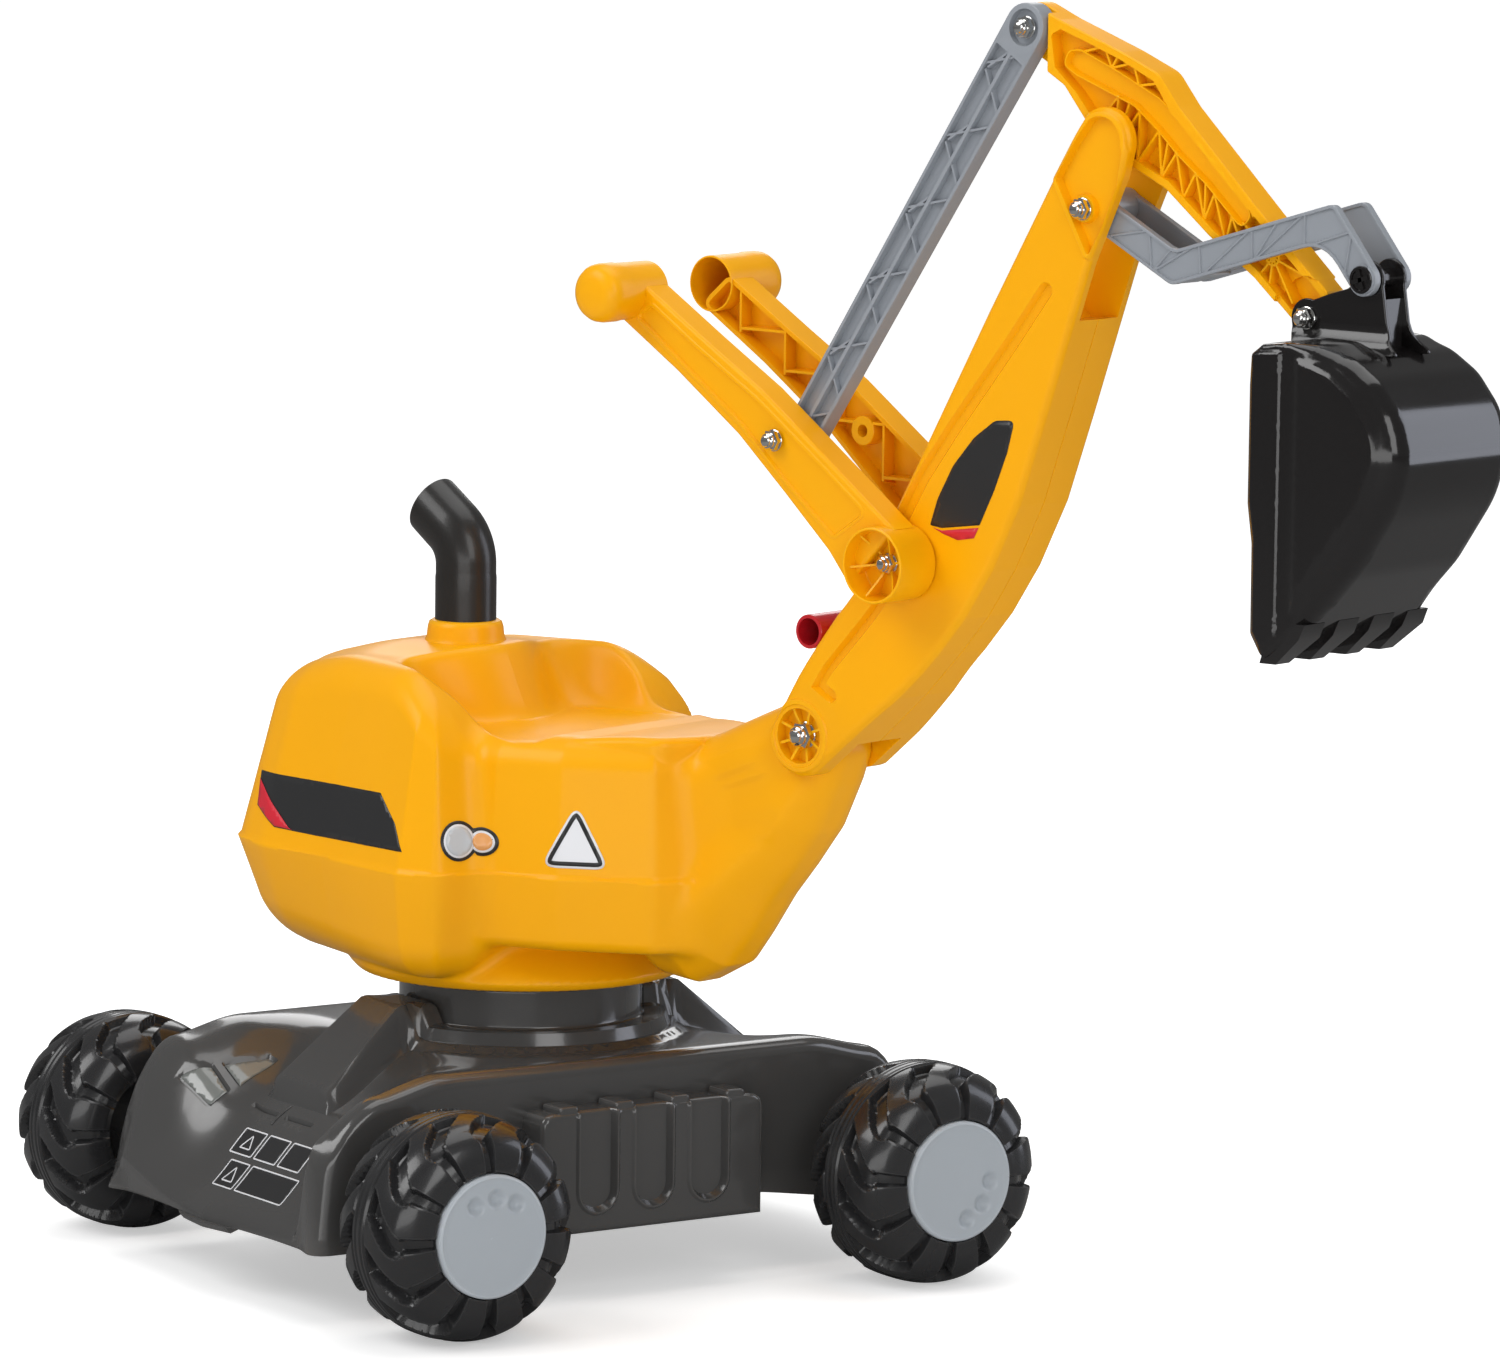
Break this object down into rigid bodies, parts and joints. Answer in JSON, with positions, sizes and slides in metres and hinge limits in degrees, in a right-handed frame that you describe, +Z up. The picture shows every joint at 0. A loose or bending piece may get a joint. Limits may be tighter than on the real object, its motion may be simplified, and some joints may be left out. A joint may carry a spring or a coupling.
{
  "type": "ride on toy digger",
  "caption": "Ride-on toy digger: a seat body with an exhaust pipe slews on a low wheeled base and carries a lever-worked boom, stick and bucket.",
  "frame": {"origin": "centre of the ground footprint: middle of the bounding box in X and Y, at the underside of the wheels", "axes": "+Z up, +X the way the boom points (the longest extent), +Y to the rider's left; the wheeled base is shown turned 74.6 degrees under the seat body"},
  "size_m": [0.8914, 0.5092, 0.7139],
  "materials": {
    "chassis_plastic": "dark grey satin moulding",
    "ring_plastic": "natural off-white bearing ring",
    "zinc_steel": "zinc plated",
    "bolt_chrome": "bright plated bolts and acorn nuts",
    "wheel_plastic": "black moulded wheel",
    "cap_plastic": "grey hub cap",
    "yellow_plastic": "glossy warm yellow",
    "black_plastic": "glossy black",
    "arm_plastic": "mid grey moulding",
    "red_plastic": "signal red"
  },
  "bodies": {
    "chassis": {"chassis_shell": "chassis_plastic", "turntable_collar": "chassis_plastic", "glide_ring": "ring_plastic", "slew_bolt": "zinc_steel", "slew_nut": "zinc_steel", "slew_washer_lower": "zinc_steel", "slew_washer_upper": "zinc_steel", "rear_axle": "zinc_steel", "front_axle": "zinc_steel", "axle_clip_rear_right": "zinc_steel", "axle_clip_rear_left": "zinc_steel", "axle_clip_front_right": "zinc_steel", "axle_clip_front_left": "zinc_steel"},
    "wheel_rear_right": {"wheel_rear_right": "wheel_plastic", "hub_cap_rear_right": "cap_plastic"},
    "wheel_rear_left": {"wheel_rear_left": "wheel_plastic", "hub_cap_rear_left": "cap_plastic"},
    "wheel_front_right": {"wheel_front_right": "wheel_plastic", "hub_cap_front_right": "cap_plastic"},
    "wheel_front_left": {"wheel_front_left": "wheel_plastic", "hub_cap_front_left": "cap_plastic"},
    "upper": {"body_shell": "yellow_plastic", "exhaust_pipe": "black_plastic"},
    "boom": {"boom_half_right": "yellow_plastic", "boom_half_left": "yellow_plastic", "lever_left": "yellow_plastic", "boom_pivot_bolt": "bolt_chrome", "boom_pivot_nut": "bolt_chrome", "lever_pivot_bolt": "bolt_chrome", "lever_pivot_nut": "bolt_chrome", "link_pivot_bolt": "bolt_chrome", "link_pivot_nut": "bolt_chrome", "stick_pivot_pin": "bolt_chrome", "lock_pin": "bolt_chrome"},
    "right_lever": {"lever_right": "yellow_plastic", "rod_foot_bolt": "bolt_chrome", "rod_foot_nut": "bolt_chrome"},
    "push_rod": {"push_rod": "arm_plastic"},
    "stick": {"stick": "yellow_plastic", "rod_head_bolt": "bolt_chrome", "rod_head_nut": "bolt_chrome"},
    "bucket_link": {"bucket_link": "arm_plastic", "bucket_link_pin": "black_plastic"},
    "bucket": {"bucket": "black_plastic", "bucket_bolt": "bolt_chrome", "bucket_nut": "bolt_chrome"},
    "lock_lever": {"lock_lever": "red_plastic"}
  },
  "joints": [
    {"name": "slew", "type": "hinge", "parent": "chassis", "child": "upper", "pos_m": [-0.18835, 0, 0.1617], "axis": [0, 0, 1], "continuous": true},
    {"name": "wheel_spin_rear_right", "type": "hinge", "parent": "chassis", "child": "wheel_rear_right", "pos_m": [-0.22841, -0.14543, 0.0612], "axis": [-0.9641, 0.2656, 0], "continuous": true},
    {"name": "wheel_spin_rear_left", "type": "hinge", "parent": "chassis", "child": "wheel_rear_left", "pos_m": [-0.22841, -0.14543, 0.0612], "axis": [-0.9641, 0.2656, 0], "continuous": true},
    {"name": "wheel_spin_front_right", "type": "hinge", "parent": "chassis", "child": "wheel_front_right", "pos_m": [-0.14829, 0.14543, 0.0612], "axis": [-0.9641, 0.2656, 0], "continuous": true},
    {"name": "wheel_spin_front_left", "type": "hinge", "parent": "chassis", "child": "wheel_front_left", "pos_m": [-0.14829, 0.14543, 0.0612], "axis": [-0.9641, 0.2656, 0], "continuous": true},
    {"name": "boom_raise", "type": "hinge", "parent": "upper", "child": "boom", "pos_m": [0.04065, 0, 0.318], "axis": [0, -1, 0], "range_deg": [-45, 8]},
    {"name": "lever_pull", "type": "hinge", "parent": "boom", "child": "right_lever", "pos_m": [0.10665, 0, 0.417], "axis": [0, -1, 0], "range_deg": [-6, 28]},
    {"name": "rod_swing", "type": "hinge", "parent": "right_lever", "child": "push_rod", "pos_m": [0.03165, 0, 0.477], "axis": [0, -1, 0], "range_deg": [-28, 6.5]},
    {"name": "stick_swing", "type": "hinge", "parent": "boom", "child": "stick", "pos_m": [0.23165, 0, 0.645], "axis": [0, -1, 0], "range_deg": [-7.5, 33]},
    {"name": "link_swing", "type": "hinge", "parent": "boom", "child": "bucket_link", "pos_m": [0.22065, 0, 0.61], "axis": [0, -1, 0], "range_deg": [-7.5, 35]},
    {"name": "bucket_curl", "type": "hinge", "parent": "stick", "child": "bucket", "pos_m": [0.35665, 0, 0.562], "axis": [0, -1, 0], "range_deg": [-7, 31.5]},
    {"name": "lock_turn", "type": "hinge", "parent": "boom", "child": "lock_lever", "pos_m": [0.06365, 0, 0.377], "axis": [0, -1, 0], "range_deg": [-20, 0]}
  ],
  "couplings": [
    {"joint": "rod_swing", "follows": "lever_pull", "ratio": -0.987},
    {"joint": "stick_swing", "follows": "lever_pull", "ratio": 1.16},
    {"joint": "link_swing", "follows": "lever_pull", "ratio": 1.24},
    {"joint": "bucket_curl", "follows": "lever_pull", "ratio": 1.12}
  ]
}
